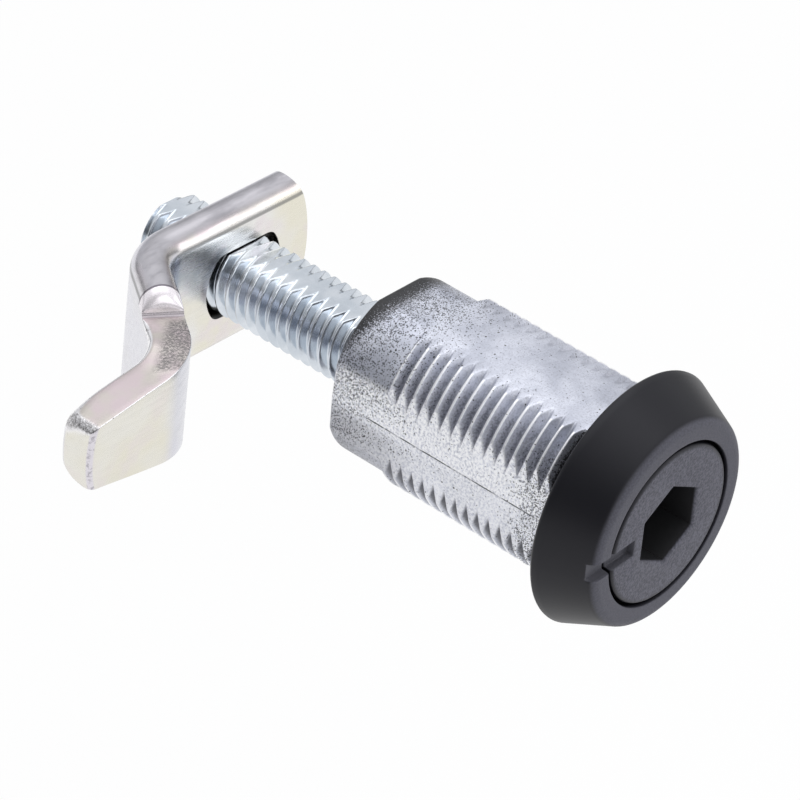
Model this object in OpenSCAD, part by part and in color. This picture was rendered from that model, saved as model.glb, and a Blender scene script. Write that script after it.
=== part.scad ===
// Vise action compression latch. Turning the plug first swings the pawl behind a frame,
// then a cam in the plug draws the pawl in and clamps the frame against the head.
// Millimetres, +Z up. The latch axis is Y: the head faces -Y, the pawl is at +Y.
// The origin is on the axis, in the plane where the head seats on the panel.

/* [Head] */
// Diameter of the head at its rim
head_d = 29; // [26:0.5:36]
// Diameter of the front face, where the cone would meet it
head_face_d = 23.6; // [21:0.2:25]
// Height of the head in front of the panel
head_h = 6.5; // [6:0.1:9]
// Rounding of the front edge
face_edge_r = 0.9; // [0.2:0.1:1.2]
// Rounding of the rim behind the cone
rim_r = 0.5; // [0.2:0.1:0.9]

/* [Barrel] */
// Outside diameter of the barrel's thread
barrel_d = 22; // [21.4:0.2:27]
// Distance across each pair of flats
barrel_flat = 19.5; // [18.4:0.1:21]
// Length behind the panel seat
barrel_len = 31.4; // [31:0.1:40]
// Length of barrel that carries thread
thread_len = 24; // [10:0.5:25]
// Diameter of the plain section behind the thread
pilot_d = 20.8; // [19.8:0.1:21.2]
// Rounding of the rear edge
rear_edge_r = 0.8; // [0.2:0.1:0.9]

/* [Plug] */
// Diameter of the plug in the head
plug_d = 18.4; // [17:0.1:19.2]
// Thickness of the plug's flange
flange_h = 5.2; // [4.6:0.1:5.4]
// Gap round the flange
flange_gap = 0.25; // [0.15:0.05:0.4]
// Rounding of the flange's front edge
plug_edge_r = 0.4; // [0.1:0.1:0.6]
// Hex drive, across flats
hex_af = 8.3; // [5:0.1:9.5]
// Depth of the hex drive
hex_depth = 6; // [4.5:0.1:6.4]
// Angle that the plug stands back from the pawl's direction
plug_lag = 3; // [0:0.5:6]
// Clearance of the plug's skirt round the spindle
skirt_gap = 0.3; // [0.2:0.05:0.6]
// Wall of the skirt
skirt_wall = 1.72; // [1.4:0.02:1.8]
// Solid floor between the hex drive and the skirt
plug_floor = 2; // [1:0.1:3]
// Thickness of the sealing ring round the flange
o_ring_d = 1.5; // [1:0.1:1.8]

/* [Index groove] */
// Width of the groove in plug and head
groove_w = 2; // [1:0.1:3]
// Depth of the groove
groove_depth = 1; // [0.4:0.1:1.4]
// Distance from the axis to the groove's inner end
groove_start = 5.6; // [5.5:0.1:8]

/* [Cam and spindle] */
// Travel that the cam pulls the pawl in
pull = 6; // [4.5:0.1:6.4]
// Turn of the plug over that travel
cam_turn = 180; // [150:5:180]
// Cross pin diameter
pin_d = 3; // [2:0.1:3.2]
// Distance of the cross pin behind the panel seat
pin_y = 16.5; // [15.5:0.1:16.8]
// Chamfer at the spindle's end
end_chamfer = 0.7; // [0.2:0.1:1.5]
// Spindle diameter over its thread
spindle_d = 9.8; // [8.4:0.1:10]
// Distance across the spindle's two flats
spindle_flat = 7.9; // [6:0.1:8.4]
// Distance from the panel seat to the spindle's end
spindle_reach = 64.4; // [60:0.1:80]
// Spring wire diameter
wire_d = 0.9; // [0.5:0.1:1]
// Spring turns
spring_turns = 5; // [3:0.5:5]

/* [Guide bush] */
// Turn of the pawl between its stops
swing = 90; // [60:5:100]
// Width of the ledge where the bush's bore starts
ledge_w = 0.7; // [0.5:0.05:0.9]
// Distance of that ledge behind the panel seat
ledge_y = 19.5; // [19.2:0.1:19.8]
// How far the bush's stop lugs stand out
lug_h = 0.9; // [0.5:0.1:1]
// Width of a stop lug, in degrees
lug_angle = 20; // [10:1:30]
// Thickness of both retaining rings
ring_t = 0.9; // [0.6:0.1:1]

/* [Pawl] */
// Strip thickness
strip_t = 4.5; // [3:0.1:5]
// Strip width over its rounded edges
strip_w = 17.6; // [16:0.1:22]
// Distance from the panel seat to the plate's front face
pawl_y = 52.9; // [48:0.1:55]
// Distance from the axis to the plate's free end
plate_end = 10.2; // [8:0.1:14]
// Distance from the axis to the start of the first bend
bend_x = 10.1; // [8:0.1:14]
// How far the arm stands in front of the plate
joggle = 13.5; // [12:0.1:18]
// Angle of both bends
bend_angle = 55; // [45:1:70]
// Inside radius of the bend at the plate
plate_bend_r = 4.5; // [1:0.1:5]
// Inside radius of the bend at the arm
arm_bend_r = 4.8; // [2:0.1:5.5]
// Distance from the axis to the tip
arm_reach = 37.4; // [36:0.1:50]
// Width of the arm where it leaves the strip
arm_w = 12.2; // [9:0.1:13]
// Width of the arm at its tip
tip_w = 7.7; // [5:0.1:9]
// Length of full width strip after the first bend
shoulder_s = 5.7; // [0.5:0.1:6]
// Rounding in the corner below each shoulder
shoulder_r = 1; // [0.3:0.1:1.5]
// Radius of the plate's sheared end
plate_end_r = 18; // [14:0.5:40]
// Radius of the tip's sheared end
tip_r = 14; // [10:0.5:40]
// Clearance of the pawl's hole round the spindle
hole_gap = 0.9; // [0.15:0.05:1]
// Clearance between the pawl's hole and the spindle's flats
flat_gap = 0.15; // [0.1:0.05:0.3]

/* [Hidden] */
$fn = 96;

// Running clearance of turned fits, on the radius
run = 0.08;
// Clearance between the ends of pieces on different bodies
gap = 0.2;
// Overlap of cutters past the faces that they open
past = 1;
// Opening of the retaining rings, in degrees
ring_opening = 40;
// Clearance of the bush's lugs at each stop, in degrees
stop_gap = 1.5;

// Directions round the axis, measured from +X and turning the way the drive turns
pawl_dir = 180;
index_dir = pawl_dir - plug_lag;

flange_bore_r = plug_d / 2 + flange_gap;
flange_rear = flange_h - head_h;
o_ring_r = flange_bore_r - run - o_ring_d / 2;
o_ring_y = flange_rear - flange_h / 2;
o_ring_seat = o_ring_d / 2 + run;
spindle_r = spindle_d / 2;
skirt_bore_r = spindle_r + skirt_gap;
shank_r = skirt_bore_r + skirt_wall;
shank_bore_r = shank_r + run;
skirt_floor_y = hex_depth - head_h + plug_floor;

// The guide bush follows the plug's skirt, and the spindle's shoulder stops against it
plug_ring_y = ledge_y + run;
shank_end = plug_ring_y + ring_t + run + past;
bush_front = shank_end + 2 * gap;
guide_bore_r = shank_bore_r + ledge_w;
bush_r = guide_bore_r - run;
bush_ring_y = barrel_len - rear_edge_r - ring_t;
bush_ring_r = guide_bore_r + lug_h - 2 * run;
bush_rear = bush_ring_y - gap;
lug_front = bush_front + 2 * past;
lug_rear = bush_rear - 2 * past;

spindle_front = pin_y - pin_d;
shoulder_y = bush_front - gap;

// The strip draws in a little on each face where it is bent, and its bends lap into the straights
bend_thinning = 0.04;
bend_lap = 1;
// The strip's path in the plane of the joggle
full_len = shoulder_s + shoulder_r;
bend_sum = plate_bend_r + arm_bend_r + strip_t;
web_len = (joggle - bend_sum * (1 - cos(bend_angle))) / sin(bend_angle);
plate_bend_at = [-bend_x, pawl_y - plate_bend_r, 0];
// Centre of the arm's bend, in the frame of the slanting web
arm_bend_at = [-web_len, bend_sum, 0];
arm_start = bend_x + web_len * cos(bend_angle) + bend_sum * sin(bend_angle);
// Where the arm's taper starts, behind the strip's shoulder
taper_start = bend_x + full_len * cos(bend_angle) + (plate_bend_r + strip_t) * sin(bend_angle);
taper = (arm_w - tip_w) / 2 / (arm_reach - taper_start);

// Turns a shape drawn along Z so that it runs along Y, from a distance behind the panel seat
module along_y(y) {
    translate([0, y, 0]) rotate([-90, 0, 0]) children();
}

// Solid disc on the axis, from one distance behind the panel seat to another
module disc(r, from, to) {
    along_y(from) cylinder(r = r, h = to - from);
}

// Groove round the axis, outside the radius that stays
module ring_cut(r_in, r_out, from, to) {
    difference() {
        disc(r_out, from, to);
        disc(r_in, from - past, to + past);
    }
}

// Sector of a disc between two directions
module sector(r, from, to, start, end) {
    steps = 6;
    fan = [for (i = [0 : steps]) let (a = start + (end - start) * i / steps) 2 * r * [cos(a), sin(a)]];
    intersection() {
        disc(r, from, to);
        along_y(from - past) linear_extrude(to - from + 2 * past) polygon(concat([[0, 0]], fan));
    }
}

// Round bar with two flats, above and below
module double_d(r, flat, from, to) {
    intersection() {
        disc(r, from, to);
        translate([-2 * r, from - past, -flat / 2]) cube([4 * r, to - from + 2 * past, flat]);
    }
}

// Retaining ring with an opening on one side
module split_ring(r_in, r_out, from, opening_dir) {
    difference() {
        ring_cut(r_in, r_out, from, from + ring_t);
        sector(r_out + past, from - past, from + ring_t + past,
            opening_dir - ring_opening / 2, opening_dir + ring_opening / 2);
    }
}

// Faces of a closed tube through rings of points, for a tube that turns backwards as it runs
function tube_faces(rings, sides) = concat(
    [[for (k = [0 : sides - 1]) k]],
    [for (i = [0 : rings - 2], k = [0 : sides - 1]) let (n = (k + 1) % sides)
        each [[i * sides + k, (i + 1) * sides + k, i * sides + n],
            [i * sides + n, (i + 1) * sides + k, (i + 1) * sides + n]]],
    [[for (k = [sides - 1 : -1 : 0]) (rings - 1) * sides + k]]
);

// Head: a cone with a rounded front edge and a rounded rim
module head() {
    steps = 6;
    cone_h = head_h - rim_r;
    slope = atan2(cone_h, (head_d - head_face_d) / 2);
    flat_r = head_face_d / 2 - face_edge_r * tan(slope / 2);
    edge = [for (i = [0 : steps]) let (a = slope * i / steps)
        [flat_r + face_edge_r * sin(a), face_edge_r * (1 - cos(a))]];
    rim = [for (i = [0 : steps]) let (a = 90 * i / steps)
        [head_d / 2 - rim_r * (1 - cos(a)), cone_h + rim_r * sin(a)]];
    along_y(-head_h) rotate_extrude() polygon(concat([[0, 0]], edge, rim, [[0, head_h]]));
}

// Barrel: a screw with four flats and a plain pilot at its rear
module barrel() {
    steps = 6;
    lead_in = (barrel_d - pilot_d) / 2;
    edge = [for (i = [0 : steps]) let (a = 90 * i / steps)
        [pilot_d / 2 - rear_edge_r * (1 - cos(a)), barrel_len - rear_edge_r * (1 - sin(a))]];
    profile = concat(
        [[0, -past], [barrel_d / 2, -past], [barrel_d / 2, thread_len - lead_in], [pilot_d / 2, thread_len]],
        edge, [[0, barrel_len]]);
    intersection() {
        along_y(0) rotate_extrude() polygon(profile);
        translate([-barrel_flat / 2, -2 * past, -barrel_flat / 2])
            cube([barrel_flat, barrel_len + 3 * past, barrel_flat]);
    }
}

// Flange of the plug, with a rounded front edge
module flange() {
    steps = 6;
    edge = [for (i = [0 : steps]) let (a = 90 * i / steps)
        [plug_d / 2 - plug_edge_r * (1 - sin(a)), plug_edge_r * (1 - cos(a))]];
    along_y(-head_h) rotate_extrude() polygon(concat([[0, 0]], edge, [[plug_d / 2, flange_h], [0, flange_h]]));
}

// Straight cut for the index groove, from a distance off the axis outwards
module index_cut(start) {
    along_y(-head_h - past) rotate([0, 0, index_dir])
        translate([start, -groove_w / 2, 0]) cube([head_d, groove_w, past + groove_depth]);
}

// Helical cam slot through the skirt's wall, with a round seat for the pin at each end
module cam_slot() {
    steps = 24;
    reach = [skirt_bore_r - past, shank_r + past];
    pin_gap = 2 * run;
    lead_angle = atan2(pull * 180 / PI / cam_turn, reach[0]);
    half = (pin_d / 2 + pin_gap) / cos(lead_angle);
    points = [
        for (i = [0 : steps]) let (turn = -cam_turn * i / steps, y = pin_y - pull * i / steps)
            each [for (corner = [[0, -1], [1, -1], [1, 1], [0, 1]]) let (r = reach[corner[0]])
                [r * cos(turn), r * sin(turn), y + corner[1] * half]]
    ];
    along_y(0) polyhedron(points, tube_faces(steps + 1, 4));
    for (end = [0, 1])
        along_y(pin_y - pull * end) rotate([0, 0, -cam_turn * end]) translate([reach[0], 0, 0])
            rotate([0, 90, 0]) cylinder(r = pin_d / 2 + pin_gap, h = reach[1] - reach[0]);
}

// Section of the strip with rounded edges: x through its thickness, y across its width
module strip_section(thinning = 0) {
    middle = strip_w - strip_t;
    translate([thinning, -middle / 2]) square([strip_t - 2 * thinning, middle]);
    for (side = [-1, 1])
        translate([strip_t / 2, side * middle / 2]) circle(r = strip_t / 2 - thinning);
}

// Section of the arm, with sheared edges
module arm_section(thinning = 0) {
    translate([thinning, thinning - arm_w / 2]) square([strip_t, arm_w] - 2 * thinning * [1, 1]);
}

// Straight length of strip towards +X, with its front face in the plane y = 0
module straight(length) {
    rotate([90, 0, 90]) linear_extrude(length) children();
}

// Bend of the strip round the Z axis, over the bend angle from a direction
module bend(r, from) {
    rotate([0, 0, from - bend_lap]) rotate_extrude(angle = bend_angle + 2 * bend_lap)
        translate([r, 0]) children();
}

// Places a shape in the frame of the slanting web, from the centre of the plate's bend
module in_web() {
    translate(plate_bend_at) rotate([0, 0, bend_angle]) children();
}

// Cut that leaves a shoulder with a rounded corner beside the arm, above the middle of the strip
module shoulder_cut() {
    through = strip_t + 2 * past;
    translate([0, 0, arm_w / 2 + shoulder_r]) {
        rotate([-90, 0, 0]) cylinder(r = shoulder_r, h = through);
        translate([-past, 0, 0]) cube([past + shoulder_r, through, strip_w]);
    }
}

// Full width part of the pawl: plate, first bend and the web up to its shoulders
module pawl_plate() {
    intersection() {
        translate([-bend_x, pawl_y, 0]) straight(bend_x + plate_end) strip_section();
        translate([plate_end - plate_end_r, 0, 0])
            disc(plate_end_r, pawl_y - past, pawl_y + strip_t + past);
    }
    translate(plate_bend_at) bend(plate_bend_r, 90) strip_section(bend_thinning);
    in_web() difference() {
        translate([-full_len, plate_bend_r, 0]) straight(full_len) strip_section();
        for (side = [0, 1])
            translate([-full_len, plate_bend_r - past, 0]) mirror([0, 0, side]) shoulder_cut();
    }
}

// Sheared part of the pawl: the rest of the web, second bend and the tapering arm
module pawl_arm() {
    arm_y = pawl_y - joggle;
    root_w = arm_w / 2 + taper * taper_start;
    end = arm_reach + past;
    end_w = root_w - taper * end;
    intersection() {
        union() {
            in_web() translate([-web_len, plate_bend_r, 0]) straight(web_len - full_len / 2) arm_section();
            in_web() translate(arm_bend_at) bend(arm_bend_r, -90 - bend_angle) arm_section(bend_thinning);
            intersection() {
                translate([-end, arm_y, 0]) straight(end - arm_start) arm_section();
                translate([tip_r - arm_reach, 0, 0]) disc(tip_r, arm_y - past, arm_y + strip_t + past);
            }
        }
        along_y(arm_y - past) linear_extrude(joggle + strip_t + 2 * past)
            polygon([[0, root_w], [-end, end_w], [-end, -end_w], [0, -root_w]]);
    }
}

module housing() {
    color("darkgray") difference() {
        union() {
            head();
            barrel();
        }
        disc(flange_bore_r, -head_h - past, flange_rear + gap);
        disc(shank_bore_r, flange_rear, ledge_y + past);
        disc(guide_bore_r, ledge_y, barrel_len + past);
        for (turn = [0, 180])
            sector(guide_bore_r + lug_h, lug_front - gap, barrel_len + past,
                turn - lug_angle / 2 - stop_gap, turn + swing + lug_angle / 2 + stop_gap);
        disc(bush_ring_r + run, bush_ring_y - run, bush_ring_y + ring_t + run);
        index_cut(plug_d / 2 - past);
    }
}

module drive_plug() {
    color("#2b2c30") difference() {
        union() {
            flange();
            disc(shank_r, flange_rear - past, shank_end);
        }
        along_y(-head_h - past) rotate([0, 0, 30 - plug_lag])
            cylinder(d = hex_af / cos(30), h = hex_depth + past, $fn = 6);
        disc(skirt_bore_r, skirt_floor_y, shank_end + past);
        ring_cut(o_ring_r - o_ring_seat, plug_d, o_ring_y - o_ring_seat, o_ring_y + o_ring_seat);
        ring_cut(shank_r - ring_t, plug_d, plug_ring_y - run, plug_ring_y + ring_t + run);
        for (turn = [0, 180])
            rotate([0, turn, 0]) cam_slot();
        index_cut(groove_start);
    }
}

module plug_o_ring() {
    color("#151515") along_y(o_ring_y) rotate_extrude() translate([o_ring_r, 0]) circle(d = o_ring_d);
}

module plug_retaining_ring() {
    color("dimgray") split_ring(shank_r - ring_t + run, guide_bore_r - gap, plug_ring_y, pawl_dir);
}

module return_spring() {
    sides = 8;
    steps_a_turn = 16;
    coil_r = spindle_r - wire_d;
    ends = [spindle_front - wire_d / 2 - run, skirt_floor_y + wire_d / 2 + run];
    steps = spring_turns * steps_a_turn;
    points = [
        for (i = [0 : steps], k = [0 : sides - 1])
            let (turn = -360 * i / steps_a_turn, a = 360 * k / sides, r = coil_r + wire_d / 2 * cos(a))
            [r * cos(turn), r * sin(turn), ends[0] + (ends[1] - ends[0]) * i / steps + wire_d / 2 * sin(a)]
    ];
    color("lightsteelblue") along_y(0) polyhedron(points, tube_faces(steps + 1, sides));
}

module spindle() {
    bar = [
        [0, spindle_front], [spindle_r, spindle_front], [spindle_r, spindle_reach - end_chamfer],
        [spindle_r - end_chamfer, spindle_reach], [0, spindle_reach]
    ];
    color("lightsteelblue") difference() {
        along_y(0) rotate_extrude() polygon(bar);
        for (side = [0, 180])
            rotate([0, side, 0]) translate([-spindle_d, shoulder_y, spindle_flat / 2])
                cube([2 * spindle_d, spindle_reach, spindle_d]);
        translate([-spindle_d, pin_y, 0]) rotate([0, 90, 0]) cylinder(d = pin_d, h = 2 * spindle_d);
    }
}

module cross_pin() {
    half = shank_r - pin_d / 4;
    color("gainsboro") translate([-half, pin_y, 0]) rotate([0, 90, 0]) cylinder(d = pin_d, h = 2 * half);
}

module guide_bush() {
    color("silver") difference() {
        union() {
            disc(bush_r, bush_front, bush_rear);
            for (turn = [0, 180])
                sector(bush_r + lug_h, lug_front, lug_rear, turn - lug_angle / 2, turn + lug_angle / 2);
        }
        double_d(spindle_r + run, spindle_flat + 2 * run, bush_front - past, bush_rear + past);
    }
}

module bush_retaining_ring() {
    color("dimgray") split_ring(spindle_r + 2 * ring_t, bush_ring_r, bush_ring_y, swing / 2);
}

module pawl() {
    color("lightgoldenrodyellow") difference() {
        union() {
            pawl_plate();
            pawl_arm();
        }
        double_d(spindle_r + hole_gap, spindle_flat + 2 * flat_gap, pawl_y - past, pawl_y + strip_t + past);
    }
}

housing();
drive_plug();
plug_o_ring();
plug_retaining_ring();
return_spring();
spindle();
cross_pin();
guide_bush();
bush_retaining_ring();
pawl();
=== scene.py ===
import math
from functools import reduce

import bmesh
import bpy
import numpy as np
from mathutils import Matrix, Vector


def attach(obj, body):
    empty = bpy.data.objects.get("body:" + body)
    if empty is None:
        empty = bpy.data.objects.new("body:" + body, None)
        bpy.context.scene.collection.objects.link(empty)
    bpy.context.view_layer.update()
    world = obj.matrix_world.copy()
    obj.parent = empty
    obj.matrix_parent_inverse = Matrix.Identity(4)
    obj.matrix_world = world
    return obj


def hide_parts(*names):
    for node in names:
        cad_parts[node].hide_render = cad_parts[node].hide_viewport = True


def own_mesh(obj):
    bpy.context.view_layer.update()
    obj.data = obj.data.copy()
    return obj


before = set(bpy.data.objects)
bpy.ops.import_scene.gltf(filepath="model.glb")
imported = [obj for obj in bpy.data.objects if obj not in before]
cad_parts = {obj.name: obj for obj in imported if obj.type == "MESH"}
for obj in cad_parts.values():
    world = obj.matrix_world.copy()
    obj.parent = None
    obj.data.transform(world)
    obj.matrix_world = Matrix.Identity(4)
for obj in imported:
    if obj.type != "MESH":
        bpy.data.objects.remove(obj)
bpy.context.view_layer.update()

MM = 0.001
TAU = 2 * math.pi

# Sizes in millimetres, in the frame of the latch: the axis is Y and the panel seat is y = 0
HEAD_R, HEAD_H, FACE_R, FACE_EDGE_R, RIM_R = 14.5, 6.5, 11.8, 1.25, 0.5
BARREL_R, BARREL_ROOT_R, BARREL_FLAT, BARREL_LEN = 11.0, 10.08, 9.75, 31.4
PILOT_R, THREAD_END, REAR_EDGE_R, PITCH, DRAFT = 10.4, 24.0, 0.6, 1.5, math.radians(2.4)
PLUG_BORE_R, MOUTH_R, SHANK_BORE_R = 9.45, 9.58, 7.0
GUIDE_BORE_R, POCKET_R, RING_GROOVE_R = 7.7, 8.6, 8.52
INDEX_DIR, GROOVE_HALF, GROOVE_DEPTH, GROOVE_IN, GROOVE_OUT = math.radians(177), 1.0, 1.0, 5.6, 12.1
HEX_OUT, HEX_BEVEL, PLUG_BEVEL, SEAT_MID_R = 5.1, 0.32, 0.16, 12.6
SPINDLE_R, SPINDLE_ROOT_R, SPINDLE_FLAT = 4.9, 4.02, 3.95
SPINDLE_FRONT, SPINDLE_SHOULDER, SPINDLE_END, SPINDLE_CHAMFER = 13.5, 21.76, 64.4, 0.7
SCREW_START, SCREW_FULL = 25.0, 26.5
STRIP_T, STRIP_HALF, PAWL_Y, PLATE_END, BEND_X, JOGGLE = 4.5, 8.8, 52.9, 10.2, 10.1, 13.5
BEND, PLATE_BEND_R, ARM_BEND_R = math.radians(55), 4.5, 4.8
ARM_HALF, TIP_HALF, ARM_REACH, SHOULDER_S, SHOULDER_R = 6.1, 3.85, 37.39, 6.1, 0.5
PLATE_END_R, TIP_END_R, TIP_RUN, HOLE_R, HOLE_FLAT, HOLE_EDGE = 18.0, 14.0, 2.4, 5.8, 4.12, 0.06
DOME, DOME_DROP, TIP_FRONT_R, TIP_BACK_R, BURR_R = 1.5, 2.2, 0.7, 1.2, 0.9
# Crown of the barrel's upper and lower flat, and how far from their middle it is measured
CROWN, CROWN_AT = 0.5, 6.0
# Relief next to the head, and shift of the barrel's thread
RELIEF_R, RELIEF_END, THREAD_SHIFT = 10.2, 2.0, 0.45
# On the +X side the thread reaches further back and the pilot is smaller
FAR_THREAD, FAR_PILOT = 1.1, 0.25
# Parting line on the side flats: half its width, its depth and its rear end
SEAM_HALF, SEAM_DEPTH, SEAM_END = 0.14, 0.07, 27.5
# Inside of the barrel: levels of ring groove, pocket floor, ledge and plug bore, and the pockets in degrees
RING_GROOVE_Y, POCKET_FLOOR, LEDGE_Y, BORE_MID = (30.68, 29.62), 23.75, (19.5, -1.1), -3.0
POCKETS = ((-11.5, 101.5), (168.5, 281.5))
# Along the pawl's web, toward the arm: direction and where the web starts
WEB_WAY, WEB_START = (-math.cos(BEND), -math.sin(BEND), 0), -33.85
# Torn grain on the pawl's sheared edge: direction, lowest and highest distance that way, and fade at both
TEAR = ((math.radians(55), 18.0, 27.0, 1.0), (math.radians(125), 40.0, 49.6, 1.3))


def smooth_min(a, b, k):
    """Lesser of two values, rounded off over a width k where they cross."""
    h = np.clip(0.5 + 0.5 * (b - a) / k, 0, 1)
    return b + (a - b) * h - k * h * (1 - h)


def smooth_max(a, b, k):
    return -smooth_min(-a, -b, k)


def smooth_step(low, high, value):
    t = np.clip((value - low) / (high - low), 0, 1)
    return t * t * (3 - 2 * t)


def new_piece(name, points, faces, body, replaced, material, crease=30):
    """A piece with a mesh through points in millimetres."""
    mesh = bpy.data.meshes.new(name)
    mesh.from_pydata((np.asarray(points, float) * MM).tolist(), [], faces)
    return place(name, mesh, body, replaced, material, crease)


def face_outward(mesh, merge=False):
    work = bmesh.new()
    work.from_mesh(mesh)
    if merge:
        bmesh.ops.remove_doubles(work, verts=work.verts, dist=1e-7)
        bmesh.ops.dissolve_degenerate(work, edges=work.edges, dist=1e-7)
    bmesh.ops.recalc_face_normals(work, faces=work.faces)
    work.to_mesh(mesh)
    work.free()


def place(name, mesh, body, replaced, material, crease=30):
    """Object of a mesh, shaded smooth up to a crease angle, which rides on a body and stands for a CAD node."""
    face_outward(mesh, merge=True)
    mesh.polygons.foreach_set("use_smooth", [True] * len(mesh.polygons))
    mesh.set_sharp_from_angle(angle=math.radians(crease))
    piece = bpy.data.objects.new(name, mesh)
    bpy.context.scene.collection.objects.link(piece)
    mesh.materials.clear()
    for one in material if isinstance(material, list) else [material]:
        mesh.materials.append(one)
    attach(piece, body)
    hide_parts(replaced)
    return piece


def ring_faces(rings, sides, loop=False, caps=False):
    """Faces of a tube through closed rings of points."""
    index = np.arange(rings * sides).reshape(rings, sides)
    a = index if loop else index[:-1]
    b = np.roll(index, -1, 0) if loop else index[1:]
    faces = np.stack([a, np.roll(a, -1, 1), np.roll(b, -1, 1), b], -1).reshape(-1, 4).tolist()
    if caps:
        faces += [index[0][::-1].tolist(), index[-1].tolist()]
    return faces


def polar(radius, y, turn):
    """Points round the axis, from +X and turning as the drive turns."""
    radius, y, turn = np.broadcast_arrays(radius, y, turn)
    return np.stack([radius * np.cos(turn), y, -radius * np.sin(turn)], -1)


def thread_radius(y, turn, root, crest, land, valley, soft):
    """Radius of a screw thread. land and valley are half the widths of its crest and of its root."""
    phase = ((y - PITCH * turn / TAU) / PITCH) % 1
    from_crest = np.abs(phase - 0.5) * PITCH
    foot = PITCH / 2 - valley
    flank = (foot - from_crest) / (foot - land)
    rise = smooth_max(smooth_min(flank, np.ones_like(flank), soft), np.zeros_like(flank), soft)
    return root + (crest - root) * np.clip(rise, 0, 1)


def flatted_ring(y, radius_at, flat, drafts, start, round_columns, crown=0.0):
    """One ring of a bar with flats. Its columns follow the crease between round and flat.

    Each flat falls away on both sides of its middle by a draft angle, or else by a crown.
    """
    flats = len(drafts)
    span = math.pi / flats
    turns, radii = [], []
    for q in range(flats):
        for side in (1, -1):
            base = start + 2 * span * (q if side > 0 else q + 1)
            draft = drafts[q if side > 0 else (q + 1) % flats]
            level = flat * math.cos(draft)
            bow = 0.0 if draft else crown
            cut = np.array(0.3)
            for _ in range(12):
                round_r = radius_at(y, base + side * cut)
                fallen = level - bow * (round_r * np.sin(cut) / CROWN_AT) ** 2
                cut = draft + np.arccos(np.clip(fallen / round_r, -1, 1))
                cut = np.clip(cut, 0.07, span - 0.1)
            soft = 0.1 / flat
            on_flat = [0.0, 0.1 / flat, 0.25 / flat, cut * 0.4, cut * 0.72]
            steps = np.linspace(0, 1, round_columns + 1)[1:]
            on_round = [cut + soft + (span - cut - soft) * s for s in steps]
            offsets = on_flat + [cut - soft, cut, cut + soft] + on_round
            if side < 0:
                offsets = offsets[1:-1][::-1]
            offsets = np.array(offsets, float)
            turn = base + side * offsets
            fallen = level - bow * (level * np.tan(offsets) / CROWN_AT) ** 2
            plane = fallen / np.maximum(np.cos(offsets - draft), 0.3)
            turns.append(turn)
            radii.append(smooth_min(radius_at(y, turn), plane, 0.1))
    return np.concatenate(radii), np.concatenate(turns)


# Materials

class Graph:
    """A tree of procedural nodes. They are added by type, with sockets or plain values as inputs."""

    def __init__(self, owner):
        owner.use_nodes = True
        self.owner, self.tree = owner, owner.node_tree
        self.where = self.add("ShaderNodeTexCoord").outputs
        self.place = self.where["Object"]

    def add(self, kind, inputs=None, **settings):
        node = self.tree.nodes.new(kind)
        for key, value in settings.items():
            setattr(node, key, value)
        for key, value in (inputs or {}).items():
            self.put(node.inputs[key], value)
        return node

    def put(self, socket, value):
        if isinstance(value, bpy.types.NodeSocket):
            self.tree.links.new(value, socket)
        else:
            socket.default_value = value

    def set(self, **inputs):
        """Fill the shader's sockets and give back the material."""
        shader = self.tree.nodes["Principled BSDF"]
        for key, value in inputs.items():
            self.put(shader.inputs[key.replace("_", " ")], value)
        return self.owner

    def noise(self, scale, detail=3.0, rough=0.5, stretch=None):
        where = self.place
        if stretch:
            where = self.add("ShaderNodeMapping", {"Vector": where, "Scale": stretch}).outputs[0]
        inputs = {"Vector": where, "Scale": scale, "Detail": detail, "Roughness": rough}
        return self.add("ShaderNodeTexNoise", inputs).outputs["Fac"]

    def math(self, operation, a, b=0.0, third=0.0, clamp=False):
        inputs = {0: a, 1: b, 2: third}
        return self.add("ShaderNodeMath", inputs, operation=operation, use_clamp=clamp).outputs[0]

    def times(self, *factors):
        return reduce(lambda a, b: self.math("MULTIPLY", a, b), factors)

    def most(self, *values):
        return reduce(lambda a, b: self.math("MAXIMUM", a, b), values)

    def ramp(self, value, low, high, to_low=0.0, to_high=1.0):
        inputs = {"Value": value, 1: low, 2: high, 3: to_low, 4: to_high}
        return self.add("ShaderNodeMapRange", inputs, interpolation_type="SMOOTHSTEP").outputs[0]

    def mix(self, factor, a, b):
        inputs = {"Factor": factor, 6: a, 7: b}
        return self.add("ShaderNodeMix", inputs, data_type="RGBA").outputs[2]

    def bump(self, height, strength, depth, under=None):
        inputs = {"Height": height, "Strength": strength, "Distance": depth * MM}
        if under:
            inputs["Normal"] = under
        return self.add("ShaderNodeBump", inputs).outputs[0]

    def toward(self, direction):
        """Distance from the origin in a direction, in millimetres."""
        inputs = {0: self.place, 1: [v / MM for v in direction]}
        return self.add("ShaderNodeVectorMath", inputs, operation="DOT_PRODUCT").outputs["Value"]

    def axis(self, name, vector=None):
        """One part of a vector, or else of the place in millimetres."""
        parts = self.add("ShaderNodeSeparateXYZ", {0: vector or self.place}).outputs
        return parts[name] if vector else self.times(parts[name], 1 / MM)

    def off_axis(self):
        """Distance from the latch's axis, in millimetres."""
        x, z = self.axis("X"), self.axis("Z")
        return self.math("SQRT", self.math("ADD", self.times(x, x), self.times(z, z)))


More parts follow.
